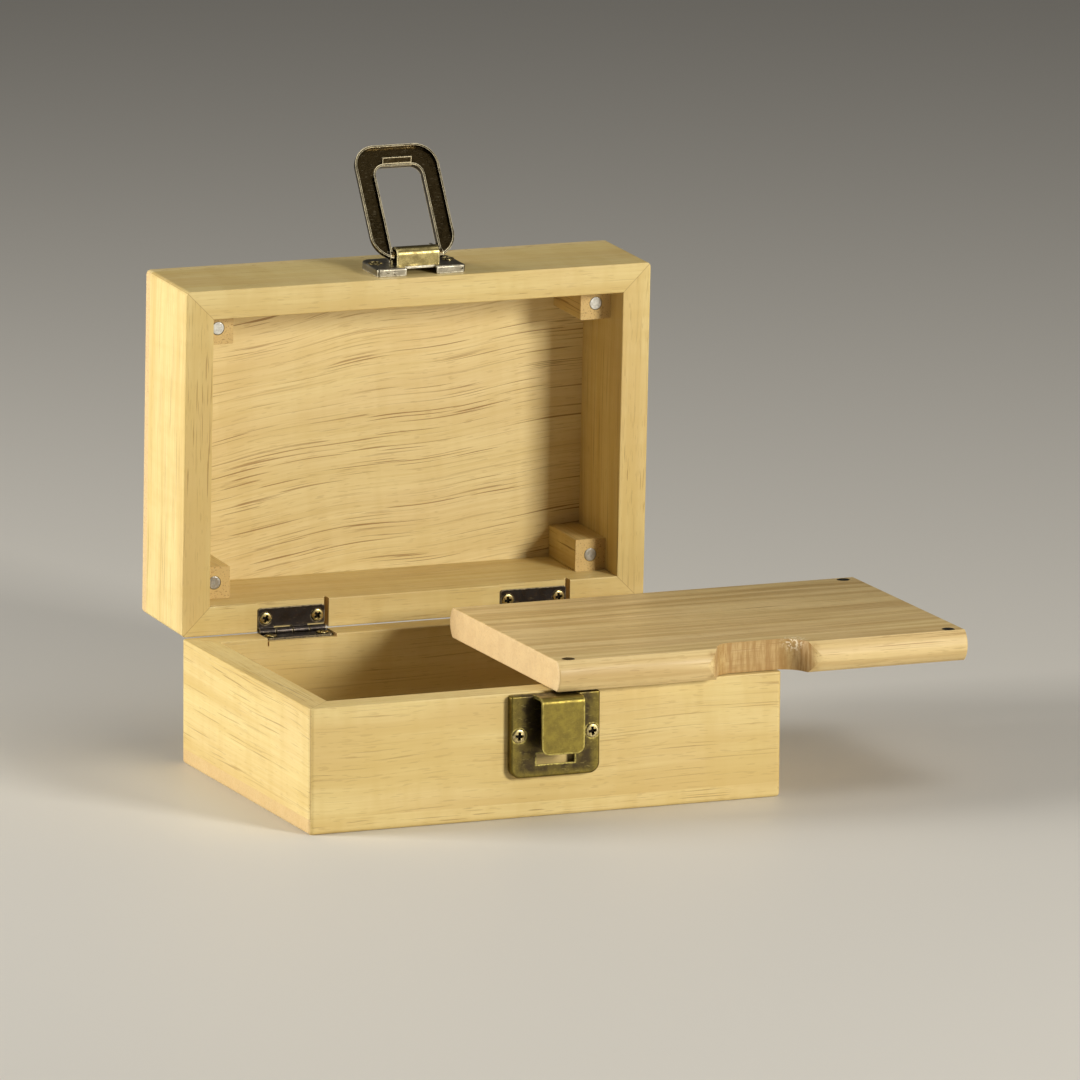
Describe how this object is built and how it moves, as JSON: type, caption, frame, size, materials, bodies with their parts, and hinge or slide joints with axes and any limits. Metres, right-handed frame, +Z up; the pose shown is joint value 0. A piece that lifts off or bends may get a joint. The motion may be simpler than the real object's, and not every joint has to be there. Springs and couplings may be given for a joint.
{
  "type": "hinged wooden box",
  "caption": "Small mitred wooden box with a hinged lid, a ring hasp and a removable notched board that magnets hold inside the lid.",
  "frame": {"origin": "centre of the box's underside", "axes": "+Z up, +X along the box's width to the right, +Y towards the hinges at the back"},
  "size_m": [0.2213, 0.1605, 0.192],
  "materials": {
    "frame_wood": "sanded, lightly oiled",
    "panel_wood": "sanded, lightly oiled",
    "post_wood": "sawn end grain",
    "board_wood": "sanded, lightly oiled",
    "latch_brass": "antique, worn bright on its edges",
    "ring_bronze": "antique dark bronze with bright rims",
    "hinge_bronze": "dark bronze",
    "screw_brass": "bright brass plate",
    "magnet_nickel": "nickel plate"
  },
  "bodies": {
    "box": {"bottom_board": "panel_wood", "box_front_wall": "frame_wood", "box_back_wall": "frame_wood", "box_left_wall": "frame_wood", "box_right_wall": "frame_wood", "left_hinge_box_leaf": "hinge_bronze", "right_hinge_box_leaf": "hinge_bronze", "left_hinge_pin": "hinge_bronze", "right_hinge_pin": "hinge_bronze", "box_hinge_screws": "screw_brass", "catch_plate": "latch_brass", "catch_screws": "screw_brass"},
    "lid": {"lid_panel": "panel_wood", "lid_front_wall": "frame_wood", "lid_back_wall": "frame_wood", "lid_left_wall": "frame_wood", "lid_right_wall": "frame_wood", "lid_post_front_left": "post_wood", "lid_post_front_right": "post_wood", "lid_post_back_left": "post_wood", "lid_post_back_right": "post_wood", "lid_magnet_front_left": "magnet_nickel", "lid_magnet_front_right": "magnet_nickel", "lid_magnet_back_left": "magnet_nickel", "lid_magnet_back_right": "magnet_nickel", "left_hinge_lid_leaf": "hinge_bronze", "right_hinge_lid_leaf": "hinge_bronze", "lid_hinge_screws": "screw_brass", "hasp_base_plate": "latch_brass", "hasp_knuckle": "latch_brass", "hasp_screws": "screw_brass"},
    "ring": {"hasp_ring": "ring_bronze"},
    "loose_board": {"compartment_board": "board_wood", "board_magnet_front_left": "magnet_nickel", "board_magnet_front_right": "magnet_nickel", "board_magnet_back_right": "magnet_nickel"}
  },
  "joints": [
    {"name": "lid_hinge", "type": "hinge", "parent": "box", "child": "lid", "pos_m": [0, 0.0565, 0.04065], "axis": [1, 0, 0], "range_deg": [0, 88]},
    {"name": "hasp_swing", "type": "hinge", "parent": "lid", "child": "ring", "pos_m": [0.0016, 0.06131, 0.15949], "axis": [1, 0, 0], "range_deg": [0, 125.5]},
    {"name": "board_slide", "type": "slide", "parent": "box", "child": "loose_board", "axis": [1, 0, 0], "range_m": [0, 0.112]}
  ],
  "couplings": [
    {"joint": "board_slide", "follows": "lid_hinge", "m_per_rad": 0.0716}
  ]
}
